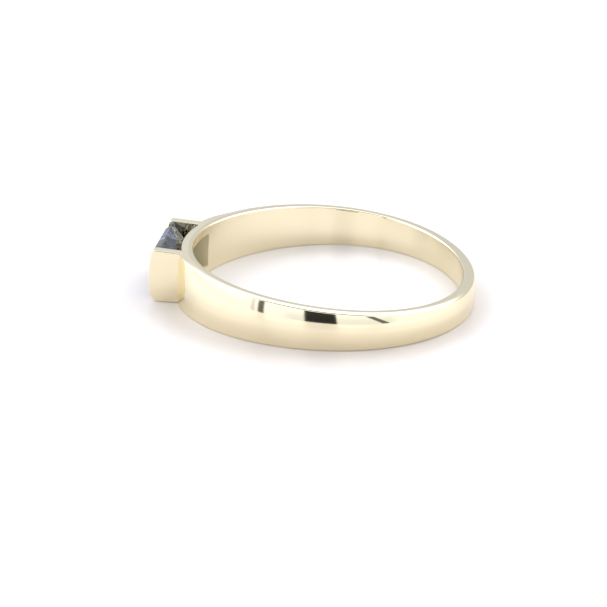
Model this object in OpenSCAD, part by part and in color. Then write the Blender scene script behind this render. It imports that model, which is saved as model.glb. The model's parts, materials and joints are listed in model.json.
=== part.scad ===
// Gold ring with a rectangular blue topaz held between two bars.
// The ring lies on its side: the lower edge face of the band is flat on z = 0,
// and the head, with the stone, points to -X.

/* [Band] */
// Inner diameter of the band, where the finger goes
bore_d = 17; // [14:0.1:21]
// Thickness of the band in the middle of its width, halfway between its head and its back
band_t = 0.94; // [0.7:0.02:1.1]
// How far the outer surface is set towards the head, so that the band is thicker there
head_shift = 0.08; // [0:0.02:0.16]
// Width of the band halfway between its head and its back
band_w = 2.53; // [2.4:0.01:3.5]
// Slope of each edge face, which makes the band widest at the head
edge_slope = 2.45; // [2.2:0.05:3.2]
// Radius of the crowned outer surface, across the width
crown_r = 6.5; // [6:0.5:14]
// Width of the bevel that takes the sharpness off the edges
bevel = 0.14; // [0.06:0.02:0.2]

/* [Setting] */
// Thickness of each bar
bar_t = 0.64; // [0.5:0.02:1]
// Height of the middle of the bars' free ends above the inner surface of the band
bar_h = 2.38; // [2.2:0.02:3]
// Radius of the slight crown on the bars' free ends
bar_end_r = 8; // [6:0.5:20]
// Radius of the bars' upper corners
upper_corner_r = 0.26; // [0.1:0.02:0.6]
// Radius of the bars' lower corners, which are worn rounder
lower_corner_r = 0.65; // [0.1:0.05:0.7]
// How far the bars' edges lie inside the edge faces of the band
bar_step = 0.02; // [0.01:0.01:0.1]
// How far each end of the stone goes into its bar
grip = 0.07; // [0.05:0.01:0.2]
// Width of the window under the stone, along the axis of the ring
window_w = 2.2; // [1.9:0.05:2.4]
// How far each end of the window stays clear of its bar
window_inset = 0.08; // [0:0.02:0.6]

/* [Stone] */
// Length of the stone, from bar to bar
stone_l = 5; // [4.2:0.1:6]
// Width of the stone, along the axis of the ring
stone_w = 3; // [2:0.1:3.1]
// Height of the crown, from the girdle to the table
crown_h = 0.38; // [0.2:0.01:0.4]
// Thickness of the girdle
girdle_t = 0.1; // [0.06:0.02:0.2]
// Depth of the pavilion, from the girdle to its keel
pavilion_h = 1.5; // [1:0.02:1.6]
// How far the table lies in from the girdle, on each side
table_inset = 0.22; // [0.2:0.02:0.5]
// How far the cut corners run along each side
corner_cut = 0.3; // [0.1:0.02:0.5]
// How far the table lies below the middle of the bars' free ends
table_drop = 0.06; // [0.04:0.02:0.4]
// Clearance around the stone where the bars hold it
seat_gap = 0.03; // [0.02:0.01:0.06]

/* [Hidden] */
$fn = 96;
ARC_STEPS = 8;
// How far a cutting shape reaches past what it cuts
OVER = 2;
// Where the crown changes slope, as shares of table_inset and of crown_h
CROWN_BREAK = [0.5, 0.55];
// Where the pavilion changes slope: inset as a share of stone_w, depth as a share of pavilion_h
PAVILION_BREAKS = [[0.15, 0.38], [0.32, 0.74]];

bore_r = bore_d/2;
outer_r = bore_r + band_t;
half_w = band_w/2;
half_bar_w = half_w - bar_step;
slope = tan(edge_slope);
bar_gap = stone_l - 2*grip;
half_girdle = girdle_t/2;

// Levels on the head, as distances from the axis of the ring
bar_reach = bore_r + bar_h;
girdle_r = bar_reach - table_drop - crown_h - half_girdle;

// Centre of the crown on the free ends of the bars, seen along the tangent of the ring
end_centre = [bar_end_r - bar_reach, 0];

// Where the crowned surface meets an edge face: its radius there, and how far it moves back
rim_r = outer_r - half_w*half_w/(2*crown_r);
rim_shift = half_w*outer_r*slope/crown_r - head_shift;

// Centre of a bar's corner of radius r, which touches the crown of the bar's end and the
// bar's upper (side = 1) or lower (side = -1) edge
function corner_centre(r, side) =
    let (a = half_bar_w - r/cos(edge_slope),
         b = end_centre[0] + a*slope,
         c = end_centre[0]*end_centre[0] + a*a - (bar_end_r - r)*(bar_end_r - r),
         x = (b - sqrt(b*b - (1 + slope*slope)*c))/(1 + slope*slope))
    [x, side*(a - slope*x)];

// Direction from point p to point q, as an angle from 0 to 360
function direction(p, q) = let (a = atan2(q[1] - p[1], q[0] - p[0])) a < 0 ? a + 360 : a;

// Points of an arc of radius r around c, from angle a0 to a1
function arc_points(c, r, a0, a1) =
    [for (i = [0:ARC_STEPS]) let (a = a0 + (a1 - a0)*i/ARC_STEPS) c + r*[cos(a), sin(a)]];

// Moves a shape from the frame of the ring to where it lies: the lower edge face on z = 0,
// the middle of the length at x = 0
module laid_down() {
    front_x = end_centre[0]*cos(edge_slope) - bar_end_r;
    back_x = (outer_r - crown_r - head_shift)*cos(edge_slope) + crown_r;
    translate([-(front_x + back_x)/2, 0, half_w*cos(edge_slope)]) rotate([0, edge_slope, 0])
        children();
}

// Disc whose flat upper side is the upper edge face, with a bevelled rim
module edge_disc() {
    far_r = rim_r + OVER;
    translate([0, 0, half_w]) rotate([0, edge_slope, 0]) translate([rim_shift, 0, 0])
        rotate_extrude()
            polygon([[0, -2*band_w], [far_r, -2*band_w], [far_r, -bevel - OVER],
                     [rim_r - bevel, 0], [0, 0]]);
}

// Cone that bevels the upper rim of the bore. It starts inside the bore, twice as deep.
module bore_bevel() {
    translate([0, 0, half_w]) rotate([0, edge_slope, 0]) translate([0, 0, -2*bevel])
        cylinder(h = 2*bevel + OVER, r1 = bore_r - bevel, r2 = bore_r + bevel + OVER);
}

// Body of revolution with the crowned outer surface
module crowned_blank() {
    translate([-head_shift, 0, 0]) rotate_extrude() intersection() {
        translate([outer_r - crown_r, 0]) circle(r = crown_r);
        translate([0, -band_w]) square([outer_r + OVER, 2*band_w]);
    }
}

module shank() {
    intersection() {
        crowned_blank();
        edge_disc();
        mirror([0, 0, 1]) edge_disc();
    }
}

// Outline of a bar, seen along the tangent of the ring: x to the back, y along the axis.
// It starts at the axis, and the bore takes away what lies in the finger hole.
module bar_outline() {
    upper = corner_centre(upper_corner_r, 1);
    lower = corner_centre(lower_corner_r, -1);
    upper_end = direction(end_centre, upper);
    lower_end = direction(end_centre, lower);
    polygon(concat(
        [[0, -half_bar_w], [0, half_bar_w]],
        arc_points(upper, upper_corner_r, 90 - edge_slope, upper_end),
        arc_points(end_centre, bar_end_r, upper_end, lower_end),
        arc_points(lower, lower_corner_r, lower_end, 270 + edge_slope)));
}

module bars() {
    for (y = [-bar_gap/2, bar_gap/2 + bar_t])
        translate([0, y, 0]) rotate([90, 0, 0]) linear_extrude(bar_t) bar_outline();
}

// Pocket in the inner faces of both bars that holds the ends of the stone, as wide as the cut
// corners leave them. It reaches up and down to where the sloping facets are clear of the bars.
module seat() {
    seat_l = stone_l + 2*seat_gap;
    seat_w = stone_w - 2*max(0, corner_cut - grip) + 3*seat_gap;
    depth = grip + seat_gap;
    above = half_girdle + depth*crown_h*CROWN_BREAK[1]/(table_inset*CROWN_BREAK[0]);
    below = half_girdle + depth*pavilion_h*PAVILION_BREAKS[0][1]/(stone_w*PAVILION_BREAKS[0][0]);
    translate([-girdle_r - above, -seat_l/2, -seat_w/2]) cube([above + below, seat_l, seat_w]);
}

// Opening through the band under the stone
module window() {
    window_l = bar_gap - 2*window_inset;
    far_r = bar_reach + OVER;
    translate([-far_r, -window_l/2, -window_w/2]) cube([far_r - bore_r/2, window_l, window_w]);
}

module band() {
    color("#e2cf96") laid_down() difference() {
        union() {
            shank();
            bars();
        }
        cylinder(h = 4*band_w, r = bore_r, center = true);
        bore_bevel();
        mirror([0, 0, 1]) bore_bevel();
        window();
        seat();
    }
}

// One level of the stone: an octagon that lies inset from the girdle, at height z.
// Its cut corners shrink as it does, so that every facet between two levels is flat.
function level(inset, z) =
    let (x = stone_w/2 - inset, y = stone_l/2 - inset, c = corner_cut*(1 - 2*inset/stone_w))
    [[x, c - y, z], [x, y - c, z], [x - c, y, z], [c - x, y, z],
     [-x, y - c, z], [-x, c - y, z], [c - x, -y, z], [x - c, -y, z]];

// The stone in its own frame: width along x, length along y, the table up
module cut_stone() {
    points_above = concat(
        level(table_inset, half_girdle + crown_h),
        level(table_inset*CROWN_BREAK[0], half_girdle + crown_h*CROWN_BREAK[1]),
        level(0, half_girdle),
        level(0, -half_girdle));
    points_below = [for (b = PAVILION_BREAKS)
        each level(stone_w*b[0], -half_girdle - pavilion_h*b[1])];
    corners = concat(points_above, points_below);
    last = len(corners) - 8;
    keel_y = (stone_l - stone_w)/2;
    keel_z = -half_girdle - pavilion_h;
    // End of the keel that lies on the same side as corner i of a level
    function keel_end(i) = len(corners) + (i >= 1 && i <= 4 ? 0 : 1);
    table = [for (i = [7:-1:0]) i];
    steps = [for (k = [0:8:last - 8], i = [0:7]) let (j = (i + 1)%8)
        [k + i, k + j, k + 8 + j, k + 8 + i]];
    to_keel = [for (i = [0:7]) let (j = (i + 1)%8, m = keel_end(i), n = keel_end(j))
        m == n ? [last + i, last + j, m] : [last + i, last + j, n, m]];
    polyhedron(concat(corners, [[0, keel_y, keel_z], [0, -keel_y, keel_z]]),
               concat([table], steps, to_keel));
}

module stone() {
    color("#5f7890") laid_down() translate([-girdle_r, 0, 0]) rotate([0, -90, 0]) cut_stone();
}

band();
stone();
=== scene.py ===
"""Gold ring with a rectangular blue topaz, lying on its side on a pale studio floor."""
import json
from math import atan2, cos, degrees, pi, radians, sin, sqrt, tan

import bpy
from mathutils import Matrix, Vector
from mathutils.bvhtree import BVHTree
from mathutils.interpolate import poly_3d_calc


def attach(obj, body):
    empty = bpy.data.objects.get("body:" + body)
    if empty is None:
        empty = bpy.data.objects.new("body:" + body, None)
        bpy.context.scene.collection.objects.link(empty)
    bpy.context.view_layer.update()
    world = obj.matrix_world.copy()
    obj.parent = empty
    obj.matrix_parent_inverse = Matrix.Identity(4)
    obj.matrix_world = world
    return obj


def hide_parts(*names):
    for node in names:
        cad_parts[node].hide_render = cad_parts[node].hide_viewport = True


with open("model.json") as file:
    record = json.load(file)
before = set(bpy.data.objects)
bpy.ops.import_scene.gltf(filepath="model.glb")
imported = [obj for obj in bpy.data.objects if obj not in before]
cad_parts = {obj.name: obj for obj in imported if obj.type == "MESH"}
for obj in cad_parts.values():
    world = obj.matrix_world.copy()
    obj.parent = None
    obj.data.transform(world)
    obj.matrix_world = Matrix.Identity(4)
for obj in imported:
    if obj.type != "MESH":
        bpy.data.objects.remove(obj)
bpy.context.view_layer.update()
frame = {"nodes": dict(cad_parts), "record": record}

# The scene is in metres. Sizes of the ring are named in millimetres and scaled once.
MM = 0.001

# The frame of the ring: its origin on the axis of the bore, Z along that axis, -X to the head
BORE = next(m for m in frame["record"]["mounts"] if m["name"] == "finger_bore")
BORE_R = BORE["dims"]["r_mm"]
EDGE_SLOPE = atan2(BORE["axis"][0], BORE["axis"][2])
RING_FRAME = (Matrix.Translation(BORE["pos_m"]) @ Matrix.Rotation(EDGE_SLOPE, 4, "Y")
              @ Matrix.Scale(MM, 4))

# Band: its thickness and width halfway between the head and the back, and how far its outer
# surface is set towards the head
BAND_T = 0.95
BAND_W = 2.53
HALF_W = BAND_W/2
HEAD_SHIFT = 0.08
# The upper side of the band is worn more than the lower one. For each side: how far the normal
# of the outer surface leans from level at its rim and where the stronger curve near the rim
# ends, the radii of the outer and inner edges, and how far the normal of the edge face leans
# outwards at its outer rim and inwards at its inner rim
UPPER_HALF = {"rim": radians(20), "bend": radians(10.6), "outer_r": 0.12, "inner_r": 0.11,
              "lean_out": radians(8), "lean_in": radians(5)}
LOWER_HALF = {"rim": radians(6), "bend": radians(2.5), "outer_r": 0.06, "inner_r": 0.06,
              "lean_out": radians(3), "lean_in": radians(2)}
# Share of its lean that the outer surface loses beside the bars, and the angles from the head
# between which that grows, inside the bars, and fades
HEAD_FLAT = 0.7
HEAD_FLAT_START = (radians(14.6), radians(17.6))
HEAD_FLAT_END = (radians(23), radians(38))
# Share of half the width that the weaker curve in the middle takes
CROWN_SHARE = 0.4
# The worn band is a little out of round: number of lobes, their height and the angle of one
LOBES = [(1, 0.07, radians(31)), (2, 0.07, radians(-58)), (3, 0.18, radians(80))]
# Steps round the ring, and in the section: inside, round an edge, over the edge face, and for
# each arc
STEPS_ROUND = 420
STEPS_INSIDE = 6
STEPS_EDGE = 6
STEPS_FACE = 10
STEPS_ARC = 12

# Stone: its size, its cut corners, how far each end goes into its bar, and how far its table
# lies below the middle of the bars' free ends
STONE_L = 5.0
STONE_W = 3.0
CROWN_H = 0.38
GIRDLE_T = 0.1
CUT_CORNER = 0.3
GRIP = 0.07
TABLE_DROP = 0.06

# Bars: the gap between them, their thickness, their height above the inner surface of the band,
# the radius of the crown on their free ends, how far their edges lie inside the edge faces of
# the band, and half their width halfway between its head and its back
BAR_GAP = STONE_L - 2*GRIP
BAR_T = 0.64
BAR_H = 2.38
BAR_END_R = 8.0
BAR_STEP = 0.02
BAR_HALF_W = HALF_W - BAR_STEP
# Radii of their edges and of their upper and lower corners
BAR_FILLET = 0.05
UPPER_CORNER_R = 0.26
LOWER_CORNER_R = 0.65
# Distances from the bore's axis along X: their free ends, and where they start in the band's wall
BAR_REACH = BORE_R + BAR_H
BAR_ROOT = BORE_R - 0.1

# Window under the stone, how far each end of it stays clear of its bar, and how far the shape
# that cuts it reaches past the bars
WINDOW_W = 2.2
WINDOW_INSET = 0.08
WINDOW_L = BAR_GAP - 2*WINDOW_INSET
PAST_BARS = 1

# Seat of the stone in the bars: the clearance around the stone, the middle of its girdle as a
# distance from the bore's axis, and how far the seat reaches above and below that
SEAT_CLEARANCE = 0.008
GIRDLE_R = BAR_REACH - TABLE_DROP - CROWN_H - GIRDLE_T/2
SEAT_ABOVE = 0.21
SEAT_BELOW = 0.17

# Where a face of the band comes from
SOURCE_SHANK, SOURCE_BAR, SOURCE_CUT = SOURCES = range(3)
# Face attribute that is 1 in the window and the seat, which no wheel polishes, and 0 elsewhere
UNPOLISHED = "unpolished"

# Colours are linear red, green, blue and alpha. The gold and the stone are clouded a little.
GOLD_DEEP = (0.855, 0.77, 0.545, 1)
GOLD_PALE = (0.88, 0.795, 0.57, 1)
TOPAZ_DEEP = (0.34, 0.42, 0.57, 1)
TOPAZ_PALE = (0.40, 0.48, 0.63, 1)
# Painted shade at both ends of the stone
TOPAZ_SHADED = (0.08, 0.10, 0.14, 1)
TOPAZ_REFLECTION = (0.7, 0.77, 0.9, 1)
# Clouds and the fine grain that polishing leaves: features for each metre, and levels of detail
GOLD_CLOUDS = {"scale": 350.0, "detail": 3.0}
GOLD_GRAIN = {"scale": 9000.0, "detail": 2.0}
TOPAZ_CLOUDS = {"scale": 600.0, "detail": 2.0}
# Roughness of the polished gold, from deep to pale, what the unpolished faces add to it, and
# how strong and how high the grain is
GOLD_ROUGHNESS = (0.03, 0.08)
UNPOLISHED_ROUGHNESS = 0.35
GRAIN_STRENGTH = 0.1
GRAIN_HEIGHT = 0.002*MM
TOPAZ_IOR = 1.62
# Distances from the middle of the stone, along its length, between which it gets darker: painted shade
# at its ends
TOPAZ_SHADE = (0.8*MM, 1.5*MM)

# Floor: half its side in metres, and its colours inside the ring, around it, close to it and far away.
# Near the ring
# the colours are painted: painted shade around it, a painted shadow close to it and a little painted
# light inside it
FLOOR_HALF = 1.5
FLOOR_INSIDE = (0.88, 0.83, 0.79, 1)
FLOOR_AROUND = (0.87, 0.815, 0.77, 1)
FLOOR_PAINTED_SHADOW = (0.80, 0.735, 0.68, 1)
FLOOR_FAR = (1.0, 0.965, 0.92, 1)
FLOOR_ROUGHNESS = 0.34
# Distances between which these change: under the band, away from the ring, and at the edge of the
# painted shadow close to the ring, which has a middle of its own
UNDER_BAND = (8.5*MM, 9.2*MM)
FAR_CHANGE = (10*MM, 30*MM)
PAINTED_SHADOW_MIDDLE = (0.8*MM, -2*MM, 0)
PAINTED_SHADOW_EDGE = (9.2*MM, 11.2*MM)

# Studio: a white tent around the ring. Directions are in degrees, as seen from the ring: the
# azimuth to the right of the camera, and the elevation. A change is given by where it starts
# and ends, and a patch by its middle, half its width and how soft its edges are.
TENT_COLOUR = (0.96, 0.99, 1.07, 1)
# Brightness of the tent at the floor and above, and where it rises
TENT_LOW, TENT_HIGH = 1.3, 1.6
TENT_RISE = (0.0, 24.0)
# What its left and right sides get of it
LEFT_SIDE, LEFT_PATCH = 1.3, (-105.0, 40.0, 40.0)
RIGHT_SIDE, RIGHT_CHANGE = 0.88, (10.0, 50.0)
# What the ceiling keeps of it, and what the opening at its top keeps of that
CEILING, CEILING_CHANGE = 0.6, (50.0, 68.0)
OPENING, OPENING_CHANGE = 0.38, (64.0, 68.0)
# What the key light on the right and behind adds
KEY_LIGHT = 1.3
KEY_AZIMUTH, KEY_ELEVATION = (135.0, 35.0, 50.0), (50.0, 16.0, 24.0)
# What the upper front keeps, and where it fades sideways and starts upwards
UPPER_FRONT = 0.75
FRONT_SIDES, FRONT_START = (60.0, 100.0), (25.0, 40.0)
# Where the wall behind the ring starts, what its low part keeps and what the lit part above gets
BACK_START = (100.0, 135.0)
BACK_PARTS = [{"patch": (10.0, 20.0, 12.0), "gets": 0.55}, {"patch": (50.0, 14.0, 12.0), "gets": 1.5}]
# Dark things around the tent: azimuth, half its width, lowest and highest elevation, how far it
# leans to the right for each degree up, how dark it is and how soft its edges are. They are a
# block, a dim stretch behind it, two strips on the left and a leaning one on the right.
DARK_THINGS = [
    {"azimuth": -9.5, "half": 10.7, "low": -12.0, "high": 28.0, "lean": 0.0, "dark": 0.97, "soft": 1.5},
    {"azimuth": 6.3, "half": 38.7, "low": -12.0, "high": 13.0, "lean": 0.0, "dark": 0.16, "soft": 10.0},
    {"azimuth": -48.7, "half": 2.1, "low": -12.0, "high": 35.0, "lean": 0.0, "dark": 0.88, "soft": 1.5},
    {"azimuth": -54.4, "half": 1.3, "low": -12.0, "high": 30.0, "lean": 0.0, "dark": 0.3, "soft": 1.5},
    {"azimuth": 38.0, "half": 2.9, "low": -5.0, "high": 60.0, "lean": -0.8, "dark": 0.85, "soft": 2.0},
]

# Camera, from the photograph: where it stands around the ring, and where it looks
CAMERA_DISTANCE = 130*MM
CAMERA_ELEVATION = radians(21.277)
CAMERA_TURN = radians(6.981)
CAMERA_YAW = radians(-0.730)
CAMERA_PITCH = radians(-22.095)
CAMERA_ROLL = radians(0.281)
# Its focal length, from the photograph's width and that length in pixels
PHOTO_PX = 607.0
FOCAL_PX = 2067.0
SENSOR_MM = 36.0
LENS_MM = SENSOR_MM*FOCAL_PX/PHOTO_PX
# Nearest and farthest distance that it sees, in metres
CLIP = (5*MM, 10)


def add_object(name, data):
    thing = bpy.data.objects.new(name, data)
    bpy.context.scene.collection.objects.link(thing)
    return thing


def arc(count, start, end):
    """Angles from start to end in equal steps, both ends included."""
    return [start + (end - start)*i/count for i in range(count + 1)]


# Shank: a section that changes round the ring, swept once

def smooth_between(value, start, end):
    """0 up to start, 1 from end on, and a smooth change between."""
    share = min(1.0, max(0.0, (value - start)/(end - start)))
    return share*share*(3 - 2*share)


def beside_bars(turn):
    """How much the bars flatten the outer surface, from 0 to 1, at an angle from +X."""
    from_head = abs(pi - turn % (2*pi))
    faded = smooth_between(from_head, *HEAD_FLAT_END)
    return smooth_between(from_head, *HEAD_FLAT_START)*(1 - faded)


def out_of_round(turn):
    """How far the band lies outside its round shape, at an angle from +X."""
    return sum(height*cos(count*(turn - at)) for count, height, at in LOBES)


def outer_radius(turn):
    """Distance from the bore's axis to the crest of the outer surface, at an angle from +X."""
    across = HEAD_SHIFT*sin(turn)
    round_radius = sqrt((BORE_R + BAND_T)**2 - across**2) - HEAD_SHIFT*cos(turn)
    return round_radius + out_of_round(turn)


def half_section(turn, half):
    """Half of the section at an angle from +X, as (radius, height): from the middle of the
    inner surface over the edge to the crest of the outer surface."""
    slope = tan(EDGE_SLOPE)*cos(turn)
    kept = 1 - HEAD_FLAT*beside_bars(turn)
    rim, bend = half["rim"]*kept, half["bend"]*kept
    lean_in, lean_out = half["lean_in"], half["lean_out"]
    inner_r, outer_r = half["inner_r"], half["outer_r"]
    inner = BORE_R + out_of_round(turn)
    crest = outer_radius(turn)

    def edge_height(radius):
        return HALF_W - slope*radius

    # The edge face is highest where its normal stands along the axis
    top_share = tan(lean_in)/(tan(lean_in) + tan(lean_out))
    flat_start = inner + inner_r*(1 - sin(lean_in))
    # The outer surface, from its crest: a weaker curve, a stronger one, and the outer edge
    drop_edge = outer_r*(cos(lean_out) - sin(rim))
    worn = 0.5*tan(lean_out)*(1 - top_share)*(crest - flat_start)
    crown_l = CROWN_SHARE*edge_height(crest)
    crown_r = crown_l/sin(bend)
    shoulder_r = (edge_height(crest) - worn - drop_edge - crown_l)/(sin(rim) - sin(bend))
    shoulder_end = crest - crown_r*(1 - cos(bend))
    shoulder_start = shoulder_end - shoulder_r*(cos(bend) - cos(rim))
    edge_start = shoulder_start - outer_r*(cos(rim) - sin(lean_out))
    edge_top = crown_l + shoulder_r*(sin(rim) - sin(bend)) + drop_edge
    # How far the edge face falls from its highest place to both rims
    top = flat_start + (edge_start - flat_start)*top_share
    fall_in = 0.5*tan(lean_in)*(top - flat_start)
    fall_out = edge_height(edge_start) - edge_top

    inner_top = edge_height(flat_start) - fall_in - inner_r*cos(lean_in)
    rows = [(inner, inner_top*i/STEPS_INSIDE) for i in range(STEPS_INSIDE)]
    for a in arc(STEPS_EDGE, pi, pi/2 + lean_in):
        rows.append((inner + inner_r*(1 + cos(a)), inner_top + inner_r*sin(a)))
    for i in range(1, STEPS_FACE):
        radius = flat_start + (edge_start - flat_start)*i/STEPS_FACE
        if radius < top:
            fall = fall_in*((top - radius)/(top - flat_start))**2
        else:
            fall = fall_out*((radius - top)/(edge_start - top))**2
        rows.append((radius, edge_height(radius) - fall))
    for a in arc(STEPS_ARC, pi/2 - lean_out, rim):
        rows.append((edge_start + outer_r*(cos(a) - sin(lean_out)),
                     edge_top - outer_r*(cos(lean_out) - sin(a))))
    for a in arc(STEPS_ARC, rim, bend)[1:]:
        rows.append((shoulder_end - shoulder_r*(cos(bend) - cos(a)),
                     crown_l + shoulder_r*(sin(a) - sin(bend))))
    for a in arc(STEPS_ARC, bend, 0)[1:]:
        rows.append((crest - crown_r*(1 - cos(a)), crown_r*sin(a)))
    return rows


def shank():
    """Vertices, faces and vertex normals of the band without its head."""
    sections = []
    for step in range(STEPS_ROUND):
        turn = 2*pi*step/STEPS_ROUND
        lower = half_section(turn, LOWER_HALF)
        outline = half_section(turn, UPPER_HALF) + [(r, -z) for r, z in reversed(lower[1:-1])]
        sections.append([Vector((r*cos(turn), r*sin(turn), z)) for r, z in outline])
    faces, normals = [], []
    rows = len(sections[0])
    for step, section in enumerate(sections):
        following = (step + 1) % STEPS_ROUND
        for row in range(rows):
            beside = (row + 1) % rows
            faces.append((step*rows + row, step*rows + beside,
                          following*rows + beside, following*rows + row))
            along = sections[following][row] - sections[step - 1][row]
            across = section[beside] - section[row - 1]
            normals.append(across.cross(along).normalized())
    return [point for section in sections for point in section], faces, normals


# Bars

def corner_centre(radius, side):
    """Centre of a bar's corner, which touches the crown of the bar's end and the bar's upper
    (side = 1) or lower (side = -1) edge: (x, z) in the frame of the ring."""
    slope = tan(EDGE_SLOPE)
    end_x = BAR_END_R - BAR_REACH
    a = BAR_HALF_W - radius/cos(EDGE_SLOPE)
    b = end_x + a*slope
    c = end_x**2 + a**2 - (BAR_END_R - radius)**2
    x = (b - sqrt(b*b - (1 + slope**2)*c))/(1 + slope**2)
    return x, side*(a - slope*x)


def bar_outline(inset):
    """Outline of a bar seen along Y, drawn in by inset: (x, z, angle of the outline's normal)."""
    end = (BAR_END_R - BAR_REACH, 0.0)
    upper = corner_centre(UPPER_CORNER_R, 1)
    lower = corner_centre(LOWER_CORNER_R, -1)
    upper_end = atan2(upper[1] - end[1], upper[0] - end[0]) % (2*pi)
    lower_end = atan2(lower[1] - end[1], lower[0] - end[0]) % (2*pi)
    root_half = BAR_HALF_W + tan(EDGE_SLOPE)*BAR_ROOT - inset/cos(EDGE_SLOPE)
    up, down = pi/2 - EDGE_SLOPE, 3*pi/2 + EDGE_SLOPE
    rows = [(-BAR_ROOT, -root_half, down), (-BAR_ROOT, root_half, up)]
    for (x, z), radius, start, finish in ((upper, UPPER_CORNER_R, up, upper_end),
                                          (end, BAR_END_R, upper_end, lower_end),
                                          (lower, LOWER_CORNER_R, lower_end, down)):
        for a in arc(STEPS_ARC, start, finish):
            rows.append((x + (radius - inset)*cos(a), z + (radius - inset)*sin(a), a))
    return rows


def bar(side):
    """Vertices, faces and vertex normals of one bar, on the +Y (side = 1) or -Y side."""
    points, normals, faces = [], [], []
    inner, outer = BAR_GAP/2, BAR_GAP/2 + BAR_T
    # Loops through the thickness: how far out, how far drawn in, and how far the normal leans
    loops = [(inner + BAR_FILLET*(1 - sin(a)), BAR_FILLET*(1 - cos(a)), -a)
             for a in arc(STEPS_EDGE, pi/2, 0)]
    loops += [(outer - BAR_FILLET*(1 - sin(a)), BAR_FILLET*(1 - cos(a)), a)
              for a in arc(STEPS_EDGE, 0, pi/2)]
    for y, inset, lean in loops:
        outline = bar_outline(inset)
        for x, z, a in outline:
            points.append(Vector((x, side*y, z)))
            normals.append(Vector((cos(a)*cos(lean), side*sin(lean), sin(a)*cos(lean))))
    count = len(outline)
    for k in range(len(loops) - 1):
        for i in range(count):
            j = (i + 1) % count
            faces.append((k*count + i, k*count + j, (k + 1)*count + j, (k + 1)*count + i))
    faces.append(tuple(reversed(range(count))))
    faces.append(tuple(range((len(loops) - 1)*count, len(loops)*count)))
    if side < 0:
        faces = [tuple(reversed(f)) for f in faces]
    return points, faces, normals


# Band: the shank and the bars in one, with the window and the seat cut out

def box(low, high):
    """Vertices and faces of a box between two corners."""
    points = [Vector((x, y, z))
              for x in (low[0], high[0]) for y in (low[1], high[1]) for z in (low[2], high[2])]
    faces = [(0, 1, 3, 2), (4, 6, 7, 5), (0, 4, 5, 1), (2, 3, 7, 6), (0, 2, 6, 4), (1, 5, 7, 3)]
    return points, faces


def window_box():
    return box((-BAR_REACH - PAST_BARS, -WINDOW_L/2, -WINDOW_W/2), (-BORE_R/2, WINDOW_L/2, WINDOW_W/2))


def seat_box():
    half_l = STONE_L/2 + SEAT_CLEARANCE
    half_w = STONE_W/2 - CUT_CORNER + GRIP + 2*SEAT_CLEARANCE
    return box((-GIRDLE_R - SEAT_ABOVE, -half_l, -half_w), (-GIRDLE_R + SEAT_BELOW, half_l, half_w))


def tool_object(name, points, faces, source):
    """A helper whose faces carry the number of their source as material index."""
    mesh = bpy.data.meshes.new(name)
    mesh.from_pydata(points, [], faces)
    for _ in SOURCES:
        mesh.materials.append(None)
    for face in mesh.polygons:
        face.material_index = source
    return add_object(name, mesh)


def joined_and_cut(shank_parts, bar_parts):
    """The band as one mesh, in the frame of the ring. Its faces carry the number of their source."""
    base = tool_object("band_base", *shank_parts[:2], SOURCE_SHANK)
    helpers = []

    def combine(name, points, faces, source, operation):
        helpers.append(tool_object(name, points, faces, source))
        modifier = base.modifiers.new(name, "BOOLEAN")
        modifier.operation = operation
        modifier.solver = "EXACT"
        modifier.object = helpers[-1]

    for k, (points, faces, _) in enumerate(bar_parts):
        combine(f"bar_{k}", points, faces, SOURCE_BAR, "UNION")
    combine("window", *window_box(), SOURCE_CUT, "DIFFERENCE")
    combine("seat", *seat_box(), SOURCE_CUT, "DIFFERENCE")
    depsgraph = bpy.context.evaluated_depsgraph_get()
    mesh = bpy.data.meshes.new_from_object(base.evaluated_get(depsgraph))
    for helper in [base] + helpers:
        bpy.data.objects.remove(helper)
    return mesh


def normal_finder(points, faces, normals):
    """A function that gives the smooth normal of a surface at the place nearest to a point."""
    tree = BVHTree.FromPolygons(points, faces)

    def normal_at(place):
        near, _, index, _ = tree.find_nearest(place)
        corners = faces[index]
        weights = poly_3d_calc([points[c] for c in corners], near)
        total = Vector()
        for weight, corner in zip(weights, corners):
            total += weight*normals[corner]
        return total.normalized()

    return normal_at


def corner_normals(mesh, shank_parts, bar_parts):
    """The normal for each corner of the band's faces, smooth except in the window and the seat."""
    shank_normal = normal_finder(*shank_parts)
    bar_normals = [normal_finder(*parts) for parts in bar_parts]
    normals = [None]*len(mesh.loops)
    for face in mesh.polygons:
        for corner in face.loop_indices:
            place = mesh.vertices[mesh.loops[corner].vertex_index].co
            if face.material_index == SOURCE_SHANK:
                normals[corner] = shank_normal(place)
            elif face.material_index == SOURCE_BAR:
                normals[corner] = bar_normals[0 if place.y > 0 else 1](place)
            else:
                normals[corner] = face.normal
    return normals


def build_band(material):
    shank_parts = shank()
    bar_parts = [bar(side) for side in (1, -1)]
    mesh = joined_and_cut(shank_parts, bar_parts)
    normals = corner_normals(mesh, shank_parts, bar_parts)
    unpolished = mesh.attributes.new(UNPOLISHED, "FLOAT", "FACE")
    for face in mesh.polygons:
        unpolished.data[face.index].value = 1.0 if face.material_index == SOURCE_CUT else 0.0
        face.use_smooth = True
        face.material_index = 0
    mesh.normals_split_custom_set(normals)
    mesh.transform(RING_FRAME)
    mesh.materials.clear()
    mesh.materials.append(material)
    return add_object("gold_band", mesh)


# Nodes

def new_tree(owner):
    """The empty node tree of a material or a world."""
    owner.use_nodes = True
    tree = owner.node_tree
    tree.nodes.clear()
    return tree


def add_node(tree, kind, inputs=None, **settings):
    """Adds a node, sets its properties, and sets or links its inputs by name or number."""
    node = tree.nodes.new(kind)
    for name, value in settings.items():
        setattr(node, name, value)
    for key, value in (inputs or {}).items():
        if isinstance(value, bpy.types.NodeSocket):
            tree.links.new(value, node.inputs[key])
        else:
            node.inputs[key].default_value = value
    return node


def math_node(tree, operation, *values):
    return add_node(tree, "ShaderNodeMath", dict(enumerate(values)), operation=operation).outputs[0]


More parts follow.
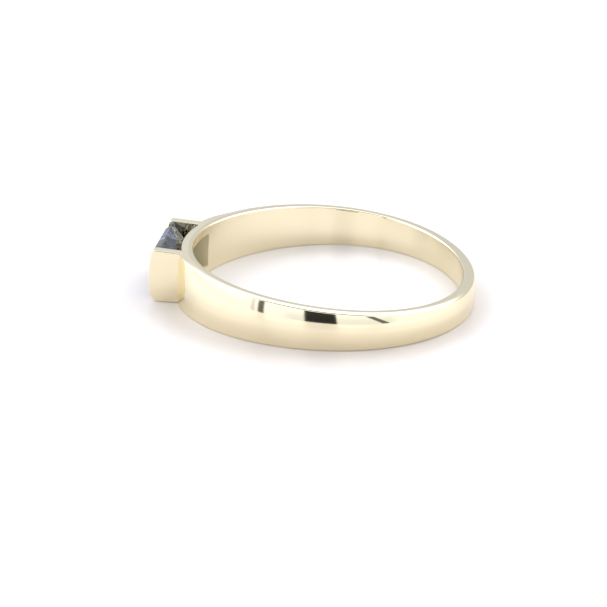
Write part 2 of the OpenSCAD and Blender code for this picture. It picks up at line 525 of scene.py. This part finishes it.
def product(tree, first, *others):
    """All the values multiplied, in their order."""
    for other in others:
        first = math_node(tree, "MULTIPLY", first, other)
    return first


def blend(tree, value, start, end, first, last):
    """A smooth change from first to last while value goes from start to end."""
    return add_node(tree, "ShaderNodeMapRange", {"Value": value, "From Min": start, "From Max": end,
                                                 "To Min": first, "To Max": last},
                    interpolation_type="SMOOTHSTEP").outputs[0]


def within(tree, value, middle, half, soft):
    """1 where value is within half of middle, 0 outside, with an edge of width soft."""
    distance = math_node(tree, "ABSOLUTE", math_node(tree, "SUBTRACT", value, middle))
    return blend(tree, distance, half - soft/2, half + soft/2, 1.0, 0.0)


def share_where(tree, there, share):
    """Share where there is 1, and 1 where it is 0."""
    return blend(tree, there, 0.0, 1.0, 1.0, share)


def mixed(tree, factor, first, second):
    """A mix of two colours. The Mix node's sockets for colours are told apart by number."""
    return add_node(tree, "ShaderNodeMix", {"Factor": factor, 6: first, 7: second},
                    data_type="RGBA").outputs[2]


def object_place(tree):
    return add_node(tree, "ShaderNodeTexCoord").outputs["Object"]


def noise(tree, place, scale, detail):
    """Smooth values from 0 to 1 that vary from place to place."""
    return add_node(tree, "ShaderNodeTexNoise",
                    {"Vector": place, "Scale": scale, "Detail": detail}).outputs["Fac"]


def finish_material(tree, inputs):
    shader = add_node(tree, "ShaderNodeBsdfPrincipled", inputs)
    add_node(tree, "ShaderNodeOutputMaterial", {"Surface": shader.outputs[0]})


# Materials

def polished_gold():
    material = bpy.data.materials.new("polished_gold")
    tree = new_tree(material)
    place = object_place(tree)
    cloud = noise(tree, place, **GOLD_CLOUDS)
    grain = noise(tree, place, **GOLD_GRAIN)
    rough = add_node(tree, "ShaderNodeMapRange", {"Value": cloud, "To Min": GOLD_ROUGHNESS[0],
                                                  "To Max": GOLD_ROUGHNESS[1]}).outputs[0]
    cut = add_node(tree, "ShaderNodeAttribute", attribute_name=UNPOLISHED).outputs["Fac"]
    bump = add_node(tree, "ShaderNodeBump", {"Height": grain, "Strength": GRAIN_STRENGTH,
                                             "Distance": GRAIN_HEIGHT}).outputs[0]
    finish_material(tree, {
        "Base Color": mixed(tree, cloud, GOLD_DEEP, GOLD_PALE),
        "Roughness": math_node(tree, "MULTIPLY_ADD", cut, UNPOLISHED_ROUGHNESS, rough),
        "Normal": bump,
        "Metallic": 1.0,
    })
    return material


def blue_topaz():
    material = bpy.data.materials.new("blue_topaz")
    tree = new_tree(material)
    place = object_place(tree)
    clouded = mixed(tree, noise(tree, place, **TOPAZ_CLOUDS), TOPAZ_DEEP, TOPAZ_PALE)
    # Painted shade: darker towards both ends, where the bars shade it
    y = add_node(tree, "ShaderNodeSeparateXYZ", {0: place}).outputs["Y"]
    shade = blend(tree, math_node(tree, "ABSOLUTE", y), *TOPAZ_SHADE, 0.0, 1.0)
    finish_material(tree, {
        "Base Color": mixed(tree, shade, clouded, TOPAZ_SHADED),
        "Roughness": 0.0,
        "IOR": TOPAZ_IOR,
        "Specular Tint": TOPAZ_REFLECTION,
        "Transmission Weight": 1.0,
    })
    return material


def pale_floor():
    material = bpy.data.materials.new("pale_floor")
    tree = new_tree(material)
    place = object_place(tree)
    distance = add_node(tree, "ShaderNodeVectorMath", {0: place}, operation="LENGTH").outputs["Value"]
    from_shadow_middle = add_node(tree, "ShaderNodeVectorMath", {0: place, 1: PAINTED_SHADOW_MIDDLE},
                          operation="DISTANCE").outputs["Value"]
    # Painted light and shade: a little lighter inside the ring, darker around it, darkest in a painted
    # shadow close to it, and pale far away
    outside = blend(tree, distance, *UNDER_BAND, 0.0, 1.0)
    close = product(tree, outside, blend(tree, from_shadow_middle, *PAINTED_SHADOW_EDGE, 1.0, 0.0))
    colour = mixed(tree, outside, FLOOR_INSIDE, FLOOR_AROUND)
    colour = mixed(tree, close, colour, FLOOR_PAINTED_SHADOW)
    colour = mixed(tree, blend(tree, distance, *FAR_CHANGE, 0.0, 1.0), colour, FLOOR_FAR)
    finish_material(tree, {
        "Base Color": colour,
        "Roughness": FLOOR_ROUGHNESS,
        "Specular IOR Level": 0.5,
    })
    return material


# Studio

def world_directions(tree):
    """Azimuth to the right of the camera, and elevation, in degrees."""
    direction = add_node(tree, "ShaderNodeTexCoord").outputs["Generated"]
    turned = add_node(tree, "ShaderNodeVectorRotate", {"Vector": direction, "Angle": -CAMERA_TURN},
                      rotation_type="Z_AXIS").outputs[0]
    split = add_node(tree, "ShaderNodeSeparateXYZ", {0: turned})
    to_camera = product(tree, split.outputs["Y"], -1.0)
    azimuth = math_node(tree, "ARCTAN2", split.outputs["X"], to_camera)
    elevation = math_node(tree, "ARCSINE", split.outputs["Z"])
    return product(tree, azimuth, degrees(1)), product(tree, elevation, degrees(1))


def tent_light(tree, azimuth, elevation):
    """Brightness of the tent and the key light, without the dark things."""
    sides = product(tree, share_where(tree, within(tree, azimuth, *LEFT_PATCH), LEFT_SIDE),
                    blend(tree, azimuth, *RIGHT_CHANGE, 1.0, RIGHT_SIDE))
    light = product(tree, blend(tree, elevation, *TENT_RISE, TENT_LOW, product(tree, sides, TENT_HIGH)),
                    blend(tree, elevation, *CEILING_CHANGE, 1.0, CEILING),
                    blend(tree, elevation, *OPENING_CHANGE, 1.0, OPENING))
    key = product(tree, within(tree, azimuth, *KEY_AZIMUTH), within(tree, elevation, *KEY_ELEVATION))
    light = math_node(tree, "ADD", light, product(tree, key, KEY_LIGHT))
    from_camera = math_node(tree, "ABSOLUTE", azimuth)
    front = product(tree, blend(tree, from_camera, *FRONT_SIDES, 1.0, 0.0),
                    blend(tree, elevation, *FRONT_START, 0.0, 1.0))
    light = product(tree, light, share_where(tree, front, UPPER_FRONT))
    behind = blend(tree, from_camera, *BACK_START, 0.0, 1.0)
    for part in BACK_PARTS:
        there = product(tree, behind, within(tree, elevation, *part["patch"]))
        light = product(tree, light, share_where(tree, there, part["gets"]))
    return light


def without_dark(tree, thing, azimuth, elevation):
    """What a dark thing leaves of the light: 1 beside it."""
    middle, half = (thing["low"] + thing["high"])/2, (thing["high"] - thing["low"])/2
    leaned = math_node(tree, "SUBTRACT", azimuth, product(tree, elevation, thing["lean"]))
    there = product(tree, within(tree, leaned, thing["azimuth"], thing["half"], thing["soft"]),
                    within(tree, elevation, middle, half, thing["soft"]))
    return math_node(tree, "SUBTRACT", 1.0, product(tree, there, thing["dark"]))


def studio_world():
    world = bpy.data.worlds.new("studio")
    bpy.context.scene.world = world
    tree = new_tree(world)
    azimuth, elevation = world_directions(tree)
    light = tent_light(tree, azimuth, elevation)
    for thing in DARK_THINGS:
        light = product(tree, light, without_dark(tree, thing, azimuth, elevation))
    background = add_node(tree, "ShaderNodeBackground", {"Color": TENT_COLOUR, "Strength": light})
    add_node(tree, "ShaderNodeOutputWorld", {"Surface": background.outputs[0]})


def add_floor():
    mesh = bpy.data.meshes.new("floor")
    corners = [(-FLOOR_HALF, -FLOOR_HALF, 0), (FLOOR_HALF, -FLOOR_HALF, 0),
               (FLOOR_HALF, FLOOR_HALF, 0), (-FLOOR_HALF, FLOOR_HALF, 0)]
    mesh.from_pydata(corners, [], [(0, 1, 2, 3)])
    mesh.materials.append(pale_floor())
    add_object("floor", mesh)


def add_camera():
    around = Matrix.Rotation(CAMERA_TURN, 3, "Z")
    stand = around @ Vector((0, -cos(CAMERA_ELEVATION), sin(CAMERA_ELEVATION)))*CAMERA_DISTANCE
    level = cos(CAMERA_PITCH)
    ahead = around @ Vector((sin(CAMERA_YAW)*level, cos(CAMERA_YAW)*level, sin(CAMERA_PITCH)))
    level_right = ahead.cross(Vector((0, 0, 1))).normalized()
    level_up = level_right.cross(ahead)
    right = cos(CAMERA_ROLL)*level_right + sin(CAMERA_ROLL)*level_up
    up = cos(CAMERA_ROLL)*level_up - sin(CAMERA_ROLL)*level_right
    data = bpy.data.cameras.new("camera")
    data.sensor_width = SENSOR_MM
    data.lens = LENS_MM
    data.clip_start, data.clip_end = CLIP
    camera = add_object("camera", data)
    axes = Matrix((right, up, -ahead)).transposed().to_4x4()
    camera.matrix_world = Matrix.Translation(Vector(BORE["pos_m"]) + stand) @ axes
    bpy.context.scene.camera = camera


gold = polished_gold()
topaz = blue_topaz()

band = build_band(gold)
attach(band, "root")
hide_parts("band")

stone = frame["nodes"]["stone"]
for slot in stone.material_slots:
    slot.material = topaz

add_floor()
studio_world()
add_camera()

scene = bpy.context.scene
scene.view_settings.view_transform = "Standard"
scene.cycles.use_denoising = True
scene.cycles.glossy_bounces = 8
